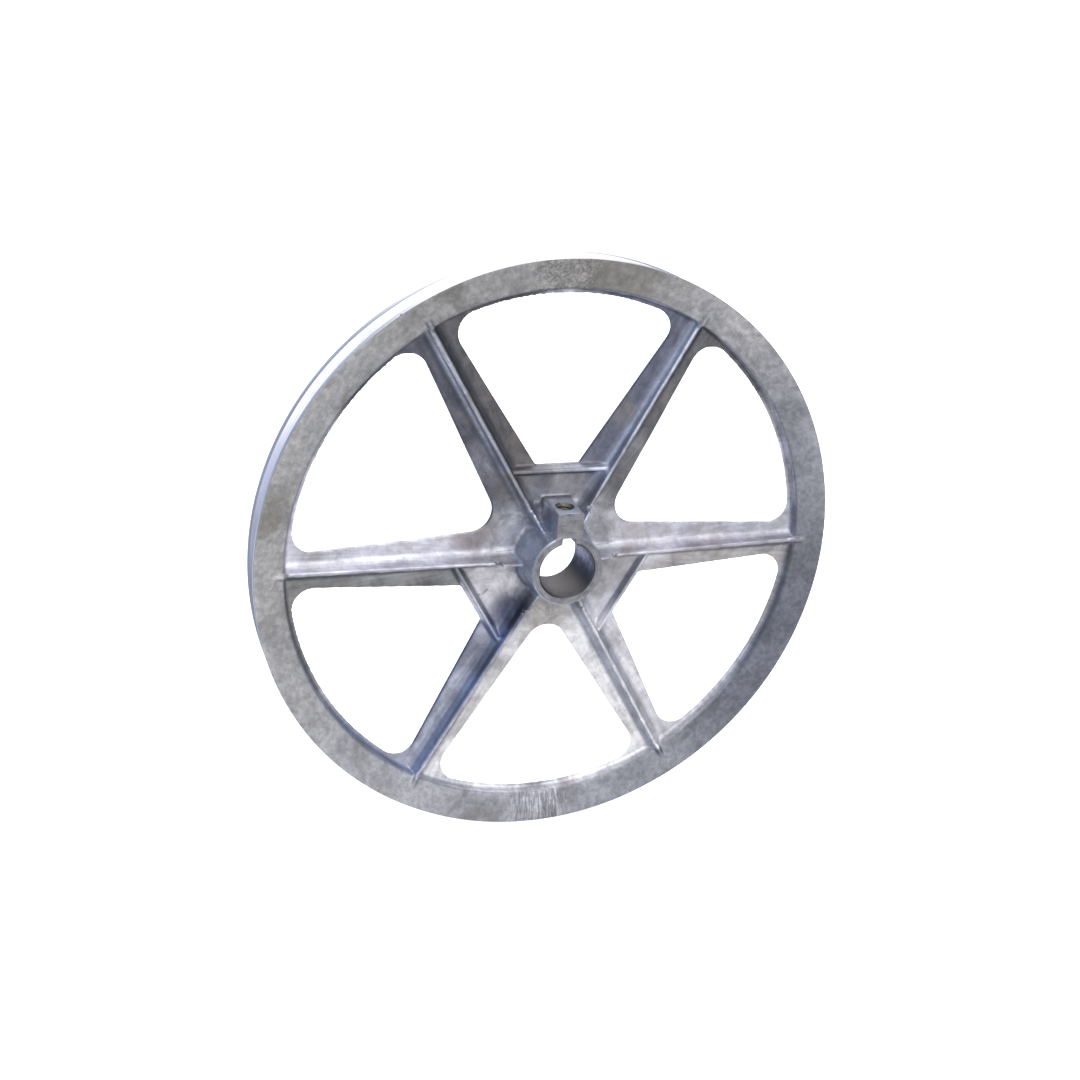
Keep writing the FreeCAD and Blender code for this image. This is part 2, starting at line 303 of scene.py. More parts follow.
def cast_surface(obj):
    """Slight waves in the skin, and the hub insert's faint step round the hub."""
    mesh = obj.data
    count = len(mesh.vertices)
    places = np.empty(count * 3, np.float32)
    normals = np.empty(count * 3, np.float32)
    mesh.vertices.foreach_get("co", places)
    mesh.vertex_normals.foreach_get("vector", normals)
    places = places.reshape(-1, 3)
    normals = normals.reshape(-1, 3)
    long_wave = 1 / (22 * MM)
    short_wave = 1 / (6 * MM)
    long_rise = 0.07
    short_rise = 0.022
    wave = np.array([
        long_rise * noise.noise(Vector(p) * long_wave)
        + short_rise * noise.noise(Vector(p) * short_wave)
        for p in places.tolist()
    ]) * MM
    moved = places + normals * wave[:, None]
    radius = np.hypot(places[:, 0], places[:, 2])
    faces_front = normals[:, 1] < -0.8
    on_web = np.abs(places[:, 1] - web_front) < 0.6 * MM
    moved[faces_front & on_web & (radius < hub_pad_radius), 1] -= hub_pad_height
    moved[:, 1] = np.minimum(moved[:, 1], wheel_high.y - back_gap)
    mesh.vertices.foreach_set("co", moved.astype(np.float32).ravel())


def thin(obj):
    """Thins the even skin, most where it is flat."""
    step = obj.modifiers.new("thin", "DECIMATE")
    step.ratio = casting_triangles / (2 * len(obj.data.polygons))
    apply_modifiers(obj)


def groove_cutter():
    """What turning takes off the rim: its outside, its corners and the belt groove."""
    clear = 6 * MM
    beyond = 1.0 * MM
    edge = machined_edge_break
    outer_half = wheel_high.y - edge
    half_floor = groove_half_top - groove_depth * groove_slope
    floor = rim_radius - groove_depth
    one_side = [
        (rim_radius + clear, outer_half + clear, 0),
        (rim_radius - beyond, outer_half + clear, 0),
        (rim_radius - beyond, outer_half + beyond, 0),
        (rim_radius, outer_half, 0),
        (rim_radius, groove_half_top + edge, 0),
        (rim_radius - edge, groove_half_top, 0),
        # one more point on the straight flank, so that smoothing keeps its outer part flat
        (rim_radius - edge - beyond / 2, groove_half_top - beyond / 2 * groove_slope, 0),
        (floor, half_floor, groove_floor_round),
    ]
    other_side = [(r, -y, bend) for r, y, bend in reversed(one_side)]
    return turned_ring("groove_cutter", one_side + other_side)


def bore_cutter():
    """The reamed bore with a chamfer at each end."""
    past = 2 * MM
    reach = bore_chamfer + past
    return turned_solid("bore_cutter", [
        (bore_radius + reach, hub_front - past, 0),
        (bore_radius, hub_front + bore_chamfer, 0),
        (bore_radius, hub_back - bore_chamfer, 0),
        (bore_radius + reach, hub_back + past, 0),
    ])


def facing_cutter(name, near, far):
    """What facing takes off one end of the hub."""
    facing_radius = 32 * MM
    return turned_solid(name, [(facing_radius, near, 0), (facing_radius, far, 0)])


def keyway_cutter():
    """The broached keyway, its roof corners slightly round and its mouth's corners broken."""
    past = 2 * MM
    roof_round = 0.5 * MM
    mouth = math.sqrt(bore_radius ** 2 - keyway_half_width ** 2)
    # the broken corner: millimetres beyond the keyway's side and above its mouth
    broken_corner = [(0, -1.4), (0.7, -0.35), (0.1, 0.6), (0, 0.9)]
    half = [(keyway_half_width, 0)]
    half += [(keyway_half_width + x * MM, mouth + z * MM) for x, z in broken_corner]
    half += [(keyway_half_width, keyway_roof - roof_round), (keyway_half_width - roof_round, keyway_roof)]
    side = half + [(-x, z) for x, z in reversed(half)]
    count = len(side)
    points = [(x, hub_front - past, z) for x, z in side] + [(x, hub_back + past, z) for x, z in side]
    faces = [(i, (i + 1) % count, count + (i + 1) % count, count + i) for i in range(count)]
    faces += [tuple(range(count)), tuple(range(count, 2 * count))]
    return object_from("keyway_cutter", points, faces)


def hub_edge_cutter():
    """The small chamfer turned on the hub's front edge, which stops at the boss."""
    size = 0.55 * MM
    past = 0.8 * MM
    clear = 1.2 * MM
    ring = turned_ring("hub_edge_cutter", [
        (hub_front_radius - size - past, hub_front - past, 0),
        (hub_front_radius + clear, hub_front - past, 0),
        (hub_front_radius + clear, hub_front + size + clear, 0),
    ])
    side = boss_half_width + 0.3 * MM
    reach = 5 * MM
    height = 30 * MM
    cut(ring, block("gap", (-side, hub_front - reach, 0), (side, hub_front + reach, height)))
    return ring


def tapped_hole_cutter():
    """The tapped hole with its countersink. It runs down the keyway's walls, past the screw's travel."""
    past = 3 * MM
    lead = 0.3 * MM
    below_roof = 3.4 * MM
    mouth = boss_top - hole_countersink
    wide = hole_radius + hole_countersink + past
    return threaded_column(
        "hole_cutter", hole_radius + hole_thread_depth, hole_thread_depth,
        keyway_roof - below_roof, mouth + lead,
        ([], [(hole_radius + lead, mouth + lead), (wide, mouth + wide - hole_radius)]),
    )


def dent_cutter(name, place, size, turn):
    """A small squashed ball that leaves a casting pit or a nick."""
    work = bmesh.new()
    bmesh.ops.create_icosphere(work, subdivisions=3, radius=1)
    mesh = bpy.data.meshes.new(name)
    work.to_mesh(mesh)
    work.free()
    mesh.transform(Matrix.Diagonal((*size, 1)))
    mesh.transform(Matrix.Rotation(turn, 4, "Y"))
    mesh.transform(Matrix.Translation(place))
    return new_object(name, mesh)


def add_flaws(obj):
    """The pit in the lower left plate and two nicks in the rim's front edge."""
    edge_y = -rim_half_width / MM
    # place and half sizes in millimetres, turn about the bore axis in radians
    flaws = [
        ((-32.2, -1.3, -16.6), (2.3, 0.9, 0.75), -0.5),
        ((-30.4, -1.2, -15.4), (0.8, 0.6, 0.6), 0.2),
        ((-76.0, edge_y, 113.6), (1.1, 0.8, 0.6), 0.6),
        ((-101.0, edge_y, -92.3), (1.0, 0.5, 0.35), -0.8),
    ]
    for index, (place, size, turn) in enumerate(flaws):
        cutter = dent_cutter(f"flaw_{index}", Vector(place) * MM, [s * MM for s in size], turn)
        cutter.data.materials.append(cast_aluminium)
        cut(obj, cutter)


def casting():
    """The wheel as it is made: cast rough, softened, then machined."""
    obj = rough_casting()
    soften(obj)
    cast_surface(obj)
    thin(obj)
    obj.data.materials.append(cast_aluminium)
    add_flaws(obj)
    facing_depth = 6 * MM
    for cutter, finish in (
        (groove_cutter(), machined_aluminium),
        (facing_cutter("front_cutter", hub_front - facing_depth, hub_front), machined_aluminium),
        (facing_cutter("back_cutter", hub_back, hub_back + facing_depth), machined_aluminium),
        (bore_cutter(), machined_aluminium),
        (keyway_cutter(), machined_aluminium),
        (hub_edge_cutter(), machined_aluminium),
        (tapped_hole_cutter(), thread_in_painted_shade),
    ):
        cutter.data.materials.append(finish)
        cut(obj, cutter)
    smooth_by_angle(obj, casting_smooth_angle)
    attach(obj, "wheel")
    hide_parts("pulley_wheel")
    return obj


def smooth_by_angle(obj, degrees):
    mesh = obj.data
    mesh.polygons.foreach_set("use_smooth", [True] * len(mesh.polygons))
    mesh.set_sharp_from_angle(angle=math.radians(degrees))


# ---- the set screw ------------------------------------------------------------------------------
def hex_cutter(low, high):
    """A hexagonal column with a shallow drilled cone at its foot."""
    corner = socket_across_flats / 2 / math.cos(math.pi / 6)
    points = []
    for z in (low, high):
        for step in range(6):
            angle = math.pi / 3 * step
            points.append((corner * math.cos(angle), screw_y + corner * math.sin(angle), z))
    drill_cone = corner * 0.5
    points.append((0, screw_y, low - drill_cone))
    faces = [(i, (i + 1) % 6, 6 + (i + 1) % 6, 6 + i) for i in range(6)]
    faces.append(tuple(range(6, 12)))
    faces += [(i, (i + 1) % 6, 12) for i in range(6)]
    return object_from("socket_cutter", points, faces)


def cup_cutter(low):
    """The cone that makes the cup point's sharp ring."""
    steps = 48
    reach = 2.4 * MM
    tip = low + 0.85 * MM
    foot = low - 0.45 * MM
    points = [(0, screw_y, tip)]
    for step in range(steps):
        angle = 2 * math.pi * step / steps
        points.append((reach * math.cos(angle), screw_y + reach * math.sin(angle), foot))
    faces = [(0, 1 + i, 1 + (i + 1) % steps) for i in range(steps)]
    faces.append(tuple(range(1, steps + 1)))
    return object_from("cup_cutter", points, faces)


def set_screw():
    """The threaded screw with its hexagon socket and cup point."""
    low = screw_low.z
    high = screw_high.z
    past = 1 * MM
    chamfer = 0.7 * MM
    lead = 0.3 * MM
    end_radius = screw_radius - chamfer
    point_radius = end_radius - 0.25 * MM
    top_radius = end_radius - 0.1 * MM
    thread_root = screw_radius - screw_thread_depth
    obj = threaded_column(
        "set_screw_threaded", screw_radius, screw_thread_depth, low + lead, high - lead,
        ([(point_radius, low), (thread_root, low + lead)],
         [(thread_root, high - lead), (top_radius, high)]),
        steps_round=96, steps_per_turn=24,
    )
    obj.data.materials.append(screw_steel)
    for cutter in (hex_cutter(high - socket_depth, high + past), cup_cutter(low)):
        cutter.data.materials.append(screw_steel)
        cut(obj, cutter)
    smooth_by_angle(obj, screw_smooth_angle)
    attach(obj, "screw")
    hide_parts("set_screw")
    return obj


# ---- materials ----------------------------------------------------------------------------------
class Graph:
    """Short calls for building a material's or the world's nodes."""

    def __init__(self, owner):
        owner.use_nodes = True
        self.tree = owner.node_tree
        self.tree.nodes.clear()

    def add(self, kind, inputs=None, **settings):
        node = self.tree.nodes.new(kind)
        for name, value in settings.items():
            setattr(node, name, value)
        for name, value in (inputs or {}).items():
            self.feed(node.inputs[name], value)
        return node

    def feed(self, socket, value):
        if isinstance(value, bpy.types.NodeSocket):
            self.tree.links.new(value, socket)
        else:
            socket.default_value = value

    def math(self, operation, a, b=0.0):
        return self.add("ShaderNodeMath", {0: a, 1: b}, operation=operation).outputs[0]

    def vector(self, x, y, z):
        return self.add("ShaderNodeCombineXYZ", {0: x, 1: y, 2: z}).outputs[0]

    def scaled(self, vector, amount):
        node = self.add("ShaderNodeVectorMath", {0: vector, "Scale": amount}, operation="SCALE")
        return node.outputs[0]

    def noise(self, vector, scale, detail=4.0, roughness=0.55, distortion=0.0):
        return self.add("ShaderNodeTexNoise", {
            "Vector": vector, "Scale": scale, "Detail": detail, "Roughness": roughness,
            "Distortion": distortion,
        }).outputs["Fac"]

    def smoothstep(self, value, low, high, to_low=0.0, to_high=1.0):
        return self.add("ShaderNodeMapRange", {
            "Value": value, "From Min": low, "From Max": high, "To Min": to_low, "To Max": to_high,
        }, interpolation_type="SMOOTHSTEP").outputs["Result"]

    def mix(self, share, a, b):
        node = self.add("ShaderNodeMix", data_type="RGBA")
        self.feed(node.inputs[0], share)
        self.feed(node.inputs[6], a)
        self.feed(node.inputs[7], b)
        return node.outputs[2]

    def bump(self, height, distance, under=None):
        inputs = {"Height": height, "Distance": distance, "Strength": 0.6}
        if under is not None:
            inputs["Normal"] = under
        return self.add("ShaderNodeBump", inputs).outputs["Normal"]

    def metal(self, colour, rough, normal):
        """Ends a material as bare metal."""
        shader = self.add("ShaderNodeBsdfPrincipled", {
            "Base Color": colour, "Metallic": 1.0, "Roughness": rough, "Normal": normal,
        })
        self.add("ShaderNodeOutputMaterial", {"Surface": shader.outputs[0]})


def grey(value, red=1.0, blue=1.0):
    """A near grey; red and blue are shares of its green."""
    return (value * red, value, value * blue, 1.0)


def object_millimetres(graph):
    """The place in the row frame, in millimetres."""
    return graph.scaled(graph.add("ShaderNodeTexCoord").outputs["Object"], 1 / MM)


def length(graph, across, up):
    return graph.math("SQRT", graph.math(
        "ADD", graph.math("MULTIPLY", across, across), graph.math("MULTIPLY", up, up)
    ))


def wheel_coordinates(graph):
    """The place, its parts, its radius and the two parts of its direction from the axis."""
    place = object_millimetres(graph)
    parts = graph.add("ShaderNodeSeparateXYZ", {0: place}).outputs
    radius = length(graph, parts[0], parts[2])
    across = graph.math("DIVIDE", parts[0], radius)
    up = graph.math("DIVIDE", parts[2], radius)
    return place, parts, radius, across, up


def polar(graph, across, up, around, radius, along):
    """A vector that changes `around` units per radian and 1 unit per `along` millimetres outwards."""
    return graph.vector(
        graph.math("MULTIPLY", across, around),
        graph.math("MULTIPLY", up, around),
        graph.math("DIVIDE", radius, along),
    )


# Tones are linear colours, rounded, that follow the photograph's light and stains.
# Each row: a spoke's angle, the painted light and shade of its flange and of its rib's flank on the side
# towards larger angles, then the same two for the other side.
spoke_shade_and_stain_tones = [
    (0, (0.66, 0.65, 0.71), (0.66, 0.64, 0.71), (0.52, 0.505, 0.50), (0.56, 0.55, 0.56)),
    (60, (0.18, 0.19, 0.24), (0.78, 0.82, 0.95), (0.185, 0.185, 0.195), (0.20, 0.20, 0.21)),
    (120, (0.145, 0.148, 0.175), (0.74, 0.75, 0.82), (0.150, 0.148, 0.155), (0.22, 0.22, 0.235)),
    (180, (0.30, 0.30, 0.305), (0.36, 0.36, 0.37), (0.80, 0.79, 0.86), (0.72, 0.71, 0.78)),
    (240, (0.80, 0.79, 0.81), (0.80, 0.79, 0.82), (0.45, 0.47, 0.56), (0.40, 0.46, 0.64)),
    (300, (0.84, 0.83, 0.87), (0.90, 0.89, 0.92), (0.97, 0.96, 0.97), (0.90, 0.89, 0.91)),
]
# patches of painted light and shade, and of stains, on the web: X and Z in millimetres, core and outer
# radius, strength, tone
shade_and_stain_patches = [
    ((0, 34), (8, 24), 0.70, (0.30, 0.295, 0.315)),
    ((-30, -17), (7, 18), 0.80, (0.80, 0.78, 0.83)),
    ((35, 46), (4, 14), 0.60, (0.32, 0.32, 0.34)),
    ((-36, 46), (4, 15), 0.60, (0.32, 0.32, 0.37)),
    ((58, -7), (3, 12), 0.60, (0.33, 0.32, 0.32)),
    ((-21, -56), (3, 12), 0.50, (0.48, 0.47, 0.48)),
    ((-34, -48), (3, 14), 0.60, (0.20, 0.20, 0.24)),
    ((-19, -26), (4, 14), 0.88, (0.10, 0.11, 0.17)),
    ((26, -12), (5, 16), 0.65, (0.36, 0.35, 0.36)),
    ((0, -30), (6, 16), 0.60, (0.44, 0.41, 0.38)),
    ((30, -45), (3, 12), 0.35, (0.40, 0.39, 0.40)),
    ((-58, -15), (4, 13), 0.65, (0.14, 0.14, 0.15)),
    ((-106, 12), (5, 16), 0.60, (0.44, 0.43, 0.44)),
    ((-39, 14), (5, 15), 0.75, (0.30, 0.26, 0.25)),
    ((48, 2), (6, 18), 0.60, (0.88, 0.86, 0.92)),
    ((44, 15), (3, 10), 0.50, (0.45, 0.43, 0.45)),
    ((108, 4), (6, 18), 0.50, (0.40, 0.40, 0.43)),
]
# the rim face's painted light and shade by direction from the axis: degrees, value, red and blue shares
rim_shade_by_direction = [
    (0, 0.33, 1.00, 1.09), (30, 0.44, 1.00, 1.06), (60, 0.52, 1.01, 1.01), (90, 0.42, 1.03, 0.96),
    (120, 0.44, 1.02, 0.99), (150, 0.57, 1.01, 0.99), (180, 0.57, 1.02, 0.98), (210, 0.54, 1.01, 1.00),
    (240, 0.54, 1.00, 1.03), (270, 0.42, 1.00, 1.06), (300, 0.37, 0.99, 1.08), (330, 0.26, 0.97, 1.12),
]


def patch(graph, parts, place, sizes):
    """1 within a patch's core radius, fading to 0 at its outer radius."""
    across = graph.math("SUBTRACT", parts[0], place[0])
    up = graph.math("SUBTRACT", parts[2], place[1])
    core, outer = sizes
    return graph.smoothstep(length(graph, across, up), outer, core)


def cosine_from(graph, across, up, angle):
    """The cosine of the angle between the place's direction from the axis and `angle` degrees."""
    return graph.math(
        "ADD", graph.math("MULTIPLY", across, math.cos(math.radians(angle))),
        graph.math("MULTIPLY", up, math.sin(math.radians(angle))),
    )


def spoke_shade_and_stains(graph, colour, parts, radius, across, up):
    """Paints light and shade, with stains, on each spoke's two sides, with a change of tone up the flank
    of its rib.
    """
    on_flank = graph.smoothstep(parts[1], -1.15, -2.8)
    front = graph.smoothstep(parts[1], 1.2, 0.2)
    away = graph.math("MULTIPLY", graph.smoothstep(radius, 24.0, 44.0), front)
    for angle, flange_left, flank_left, flange_right, flank_right in spoke_shade_and_stain_tones:
        near = graph.smoothstep(cosine_from(graph, across, up, angle), 0.87, 0.94)
        side = graph.math("MULTIPLY", radius, cosine_from(graph, across, up, angle + 90))
        left = graph.smoothstep(side, -0.9, 0.9)
        flange = graph.mix(left, (*flange_right, 1.0), (*flange_left, 1.0))
        flank = graph.mix(left, (*flank_right, 1.0), (*flank_left, 1.0))
        tone = graph.mix(on_flank, flange, flank)
        colour = graph.mix(graph.math("MULTIPLY", near, away), colour, tone)
    return colour


def rim_shade_and_stains(graph, place, radius, across, up, blotch, mottle, fine):
    """The rim face's tone: painted light and shade that changes slowly round the wheel, with cloudy
    brownish stains.
    """
    tone = grey(0.5)
    for angle, value, red, blue in rim_shade_by_direction:
        near = graph.smoothstep(cosine_from(graph, across, up, angle), 0.87, 0.99)
        tone = graph.mix(near, tone, grey(value, red, blue))
    darker = graph.smoothstep(blotch, 0.44, 0.62, 1.05, 0.88)
    lighter = graph.smoothstep(mottle, 0.35, 0.70, 0.90, 1.11)
    tone = graph.scaled(tone, graph.math("MULTIPLY", darker, lighter))
    tone = graph.scaled(tone, graph.smoothstep(fine, 0.36, 0.66, 0.84, 1.14))
    stain = graph.math(
        "MULTIPLY", graph.smoothstep(blotch, 0.52, 0.66), graph.smoothstep(mottle, 0.40, 0.58)
    )
    left = graph.smoothstep(across, 0.5, -0.2, 0.12, 0.5)
    tone = graph.mix(graph.math("MULTIPLY", stain, left), tone, (0.23, 0.20, 0.15, 1.0))
    return rim_marks(graph, tone, place, radius, across, up)


def rim_marks(graph, tone, place, radius, across, up):
    """An olive smudge and dark specks at the rim's top, scratches across its bottom."""
    smudge = graph.smoothstep(cosine_from(graph, across, up, 81), 0.988, 0.998, 0.0, 0.45)
    tone = graph.mix(smudge, tone, (0.25, 0.235, 0.20, 1.0))
    specks = graph.smoothstep(graph.noise(place, 0.9, 3.0, 0.8), 0.38, 0.62, 0.72, 1.26)
    near_top = graph.smoothstep(cosine_from(graph, across, up, 92), 0.990, 0.998)
    tone = graph.mix(near_top, tone, graph.scaled(tone, specks))
    scores = graph.noise(polar(graph, across, up, 150.0, radius, 9.0), 1.0, 3.0, 0.7, 0.3)
    scores = graph.smoothstep(scores, 0.42, 0.60, 0.72, 1.42)
    near_bottom = graph.smoothstep(cosine_from(graph, across, up, 270), 0.991, 0.998)
    return graph.mix(near_bottom, tone, graph.scaled(tone, scores))


def hub_painted_reflection(graph, colour, parts, radius):
    """Paler, bluish tones on the hub's barrel and on the boss: a painted reflection of blue light."""
    barrel = graph.math(
        "MULTIPLY", graph.smoothstep(radius, 20.5, 19.0), graph.smoothstep(parts[1], -1.5, -3.5)
    )
    colour = graph.mix(graph.math("MULTIPLY", barrel, 0.8), colour, (0.60, 0.66, 0.78, 1.0))
    boss_side = graph.math("MULTIPLY", graph.smoothstep(parts[1], -3.0, -6.0), graph.math(
        "MULTIPLY", graph.smoothstep(parts[2], 15.0, 18.0), graph.smoothstep(radius, 30.0, 28.5)
    ))
    return graph.mix(graph.math("MULTIPLY", boss_side, 0.9), colour, (0.62, 0.66, 0.76, 1.0))


def crease_shade_edge_wear_and_highlight(graph, colour, parts):
    """Painted shade in the creases, and lighter edges, partly rubbed and partly a painted highlight that
    is brightest on the rib tops. Returns the colour and how bright each edge is.
    """
    bend = graph.add("ShaderNodeNewGeometry").outputs["Pointiness"]
    # painted shade: the creases are darkened
    crease_shade = graph.smoothstep(bend, 0.475, 0.43, 0.0, 0.5)
    colour = graph.mix(crease_shade, colour, grey(0.10, 1.0, 1.10))
    # edges lightened, partly as wear and partly as a painted highlight, most on the rib tops
    bright_edge = graph.smoothstep(bend, 0.520, 0.57, 0.0, 0.75)
    high = graph.smoothstep(parts[1], -3.5, -6.0)
    polish_and_highlight = graph.mix(
        graph.math("MULTIPLY", high, 0.2), graph.scaled(colour, 1.25), grey(0.86, 1.0, 1.03)
    )
    return graph.mix(bright_edge, colour, polish_and_highlight), bright_edge


def make_cast_aluminium():
    """The cloudy cast skin: painted light and shade on the spokes, the web and the rim, a painted blue
    reflection on the hub, stains, specks, painted shade in the creases, and edges lightened partly by
    wear and partly as a painted highlight.
    """
    material = bpy.data.materials.new("cast_aluminium")
    graph = Graph(material)
    place, parts, radius, across, up = wheel_coordinates(graph)
    on_rim = graph.smoothstep(radius, 122.0, 123.4)

    mottle = graph.noise(place, 0.11, 7.0, 0.66, 0.7)
    blotch = graph.noise(place, 0.040, 4.0, 0.6, 0.5)
    grain = graph.noise(place, 1.3, 4.0, 0.7)
    fine = graph.noise(place, 0.42, 5.0, 0.7)
    flow = graph.noise(polar(graph, across, up, 46.0, radius, 30.0), 1.0, 3.0, 0.5, 0.6)
    flow = graph.mix(graph.smoothstep(radius, 42.0, 62.0), grey(0.5), flow)
    rim_flow = graph.noise(polar(graph, across, up, 12.0, radius, 3.5), 1.0, 3.0, 0.5, 0.8)
    streaks = graph.mix(on_rim, flow, rim_flow)

    colour = graph.mix(
        graph.smoothstep(mottle, 0.34, 0.66), grey(0.44, 1.01, 1.06), grey(0.60, 1.0, 1.05)
    )
    # painted light and shade, with stains, on each side of each spoke
    colour = spoke_shade_and_stains(graph, colour, parts, radius, across, up)
    # painted light and shade, with stains, laid on the web in patches
    for centre, sizes, strength, tone in shade_and_stain_patches:
        reach = graph.math("MULTIPLY", patch(graph, parts, centre, sizes), strength)
        colour = graph.mix(reach, colour, (*tone, 1.0))
    # painted blue reflection on the hub's barrel and the boss
    colour = hub_painted_reflection(graph, colour, parts, radius)
    cloud = graph.smoothstep(mottle, 0.3, 0.7, 0.82, 1.16)
    colour = graph.scaled(colour, graph.math(
        "MULTIPLY", cloud, graph.smoothstep(streaks, 0.3, 0.7, 0.90, 1.10)
    ))
    colour = graph.scaled(colour, graph.smoothstep(fine, 0.35, 0.68, 0.92, 1.08))
    stain = graph.smoothstep(blotch, 0.52, 0.68, 0.0, 0.40)
    colour = graph.mix(stain, colour, (0.33, 0.29, 0.25, 1.0))
    # the rim face's painted light and shade, with its stains
    rim = rim_shade_and_stains(graph, place, radius, across, up, blotch, mottle, fine)
    colour = graph.mix(on_rim, colour, rim)
    specks = graph.noise(place, 0.55, 3.0, 0.8)
    colour = graph.mix(
        graph.smoothstep(specks, 0.66, 0.80, 0.0, 0.45), colour, grey(0.15, 1.0, 0.95)
    )
    # painted crease shade, and edges lightened by wear and by a painted highlight
    colour, bright_edge = crease_shade_edge_wear_and_highlight(graph, colour, parts)

    rough = graph.smoothstep(mottle, 0.3, 0.7, 0.50, 0.38)
    rough = graph.math("ADD", rough, graph.smoothstep(streaks, 0.3, 0.7, 0.03, -0.05))
    rough = graph.math("ADD", rough, graph.math("MULTIPLY", on_rim, 0.08))
    rough = graph.math("ADD", rough, graph.math("MULTIPLY", bright_edge, -0.08))

    normal = graph.bump(graph.noise(place, 0.35, 5.0, 0.6), 0.00014)
    normal = graph.bump(grain, 0.00004, normal)
    graph.metal(colour, rough, normal)
    return material


def make_machined_aluminium():
    """Turned and reamed faces: fine lathe lines, bright in the groove, darker and rougher on the hub,
    with a painted highlight on the hub's outer edge and painted shade and reflection on the bore's
    chamfer and in the bore.
    """
    material = bpy.data.materials.new("machined_aluminium")
    graph = Graph(material)
    place, parts, radius, across, up = wheel_coordinates(graph)
    lathe = graph.noise(graph.vector(
        graph.math("MULTIPLY", across, 3.0), graph.math("MULTIPLY", parts[1], 5.0),
        graph.math("ADD", graph.math("MULTIPLY", radius, 5.0), graph.math("MULTIPLY", up, 3.0)),
    ), 1.0, 4.0, 0.6)
    mottle = graph.noise(place, 0.06, 5.0, 0.6)
    bright = graph.mix(graph.smoothstep(lathe, 0.3, 0.7), grey(0.82, 1.0, 1.03), grey(0.95, 1.0, 1.02))
    bright = graph.mix(graph.smoothstep(mottle, 0.48, 0.75, 0.0, 0.35), bright, grey(0.62, 1.0, 1.05))

    cloud = graph.noise(place, 0.22, 4.0, 0.6)
    hub_and_bore_colour = graph.mix(graph.smoothstep(lathe, 0.35, 0.65), grey(0.24, 1.0, 1.05), grey(0.34, 1.0, 1.05))
    hub_and_bore_colour = graph.scaled(hub_and_bore_colour, graph.smoothstep(cloud, 0.3, 0.7, 0.75, 1.25))
    # painted highlight: a light line round the hub's outer edge, on its left side only
    left = graph.smoothstep(across, 0.2, -0.8, 0.0, 0.5)
    edge = graph.math(
        "MULTIPLY", graph.smoothstep(radius, 15.6, 16.1), graph.smoothstep(radius, 17.4, 16.8)
    )
    hub_and_bore_colour = graph.mix(graph.math("MULTIPLY", edge, left), hub_and_bore_colour, grey(0.75, 1.0, 1.03))
    # painted shade: a dark ring on the bore's chamfer
    lip = graph.smoothstep(radius, 13.5, 13.1)
    hub_and_bore_colour = graph.mix(graph.math("MULTIPLY", lip, 0.8), hub_and_bore_colour, grey(0.10, 1.0, 1.02))

    # painted reflection and shade in the bore: bluish, and dark brown towards its bottom
    inside = graph.smoothstep(radius, 13.0, 12.85)
    floor_wall = graph.smoothstep(parts[2], 3.0, -7.0)
    bore_shade_and_reflection = graph.mix(
        graph.smoothstep(cloud, 0.35, 0.65), (0.26, 0.27, 0.33, 1.0), (0.66, 0.67, 0.78, 1.0)
    )
    bore_shade_and_reflection = graph.mix(floor_wall, bore_shade_and_reflection, (0.125, 0.115, 0.110, 1.0))
    hub_and_bore_colour = graph.mix(inside, hub_and_bore_colour, bore_shade_and_reflection)

    on_hub = graph.smoothstep(radius, 60.0, 50.0)
    colour = graph.mix(on_hub, bright, hub_and_bore_colour)
    rough = graph.smoothstep(lathe, 0.3, 0.7, 0.26, 0.17)
    rough = graph.math("ADD", rough, graph.smoothstep(mottle, 0.4, 0.7, 0.0, 0.08))
    rough = graph.math("ADD", rough, graph.math("MULTIPLY", on_hub, 0.16))
    rough = graph.math("ADD", rough, graph.math("MULTIPLY", inside, 0.12))
    depth = graph.smoothstep(radius, 60.0, 50.0, 0.12, 1.0)
    normal = graph.bump(graph.math("MULTIPLY", lathe, depth), 0.00003)
    graph.metal(colour, rough, normal)
    return material


def make_thread_in_painted_shade():
    """The tapped hole's wall: cut threads, coloured dark brown as painted shade for the deep hole."""
    material = bpy.data.materials.new("thread_in_painted_shade")
    graph = Graph(material)
    place = object_millimetres(graph)
    film = graph.noise(place, 0.8, 4.0, 0.6)
    # painted shade: the hole's wall is dark brown
    colour = graph.mix(
        graph.smoothstep(film, 0.35, 0.65), (0.12, 0.112, 0.088, 1.0), (0.32, 0.30, 0.26, 1.0)
    )
    rough = graph.smoothstep(film, 0.3, 0.7, 0.3, 0.5)
    normal = graph.bump(graph.noise(place, 3.0, 3.0, 0.6), 0.00003)
    graph.metal(colour, rough, normal)
    return material


def make_screw_steel():
    """Black oxide steel with dust and bright rubbed edges."""
    material = bpy.data.materials.new("screw_steel")
    graph = Graph(material)
    place = object_millimetres(graph)
    film = graph.noise(place, 0.9, 5.0, 0.6)
    dust = graph.noise(place, 0.35, 3.0, 0.6)
    colour = graph.mix(graph.smoothstep(film, 0.3, 0.7), grey(0.07, 1.05, 0.95), grey(0.16, 1.02, 0.97))
    colour = graph.mix(graph.smoothstep(dust, 0.5, 0.7, 0.0, 0.45), colour, (0.22, 0.19, 0.13, 1.0))
    bend = graph.add("ShaderNodeNewGeometry").outputs["Pointiness"]
    bright_edge = graph.smoothstep(bend, 0.53, 0.62, 0.0, 0.8)
    colour = graph.mix(bright_edge, colour, grey(0.45, 1.0, 0.98))
    rough = graph.smoothstep(film, 0.3, 0.7, 0.46, 0.3)
    normal = graph.bump(graph.noise(place, 6.0, 4.0, 0.6), 0.00002)
    graph.metal(colour, rough, normal)
    return material


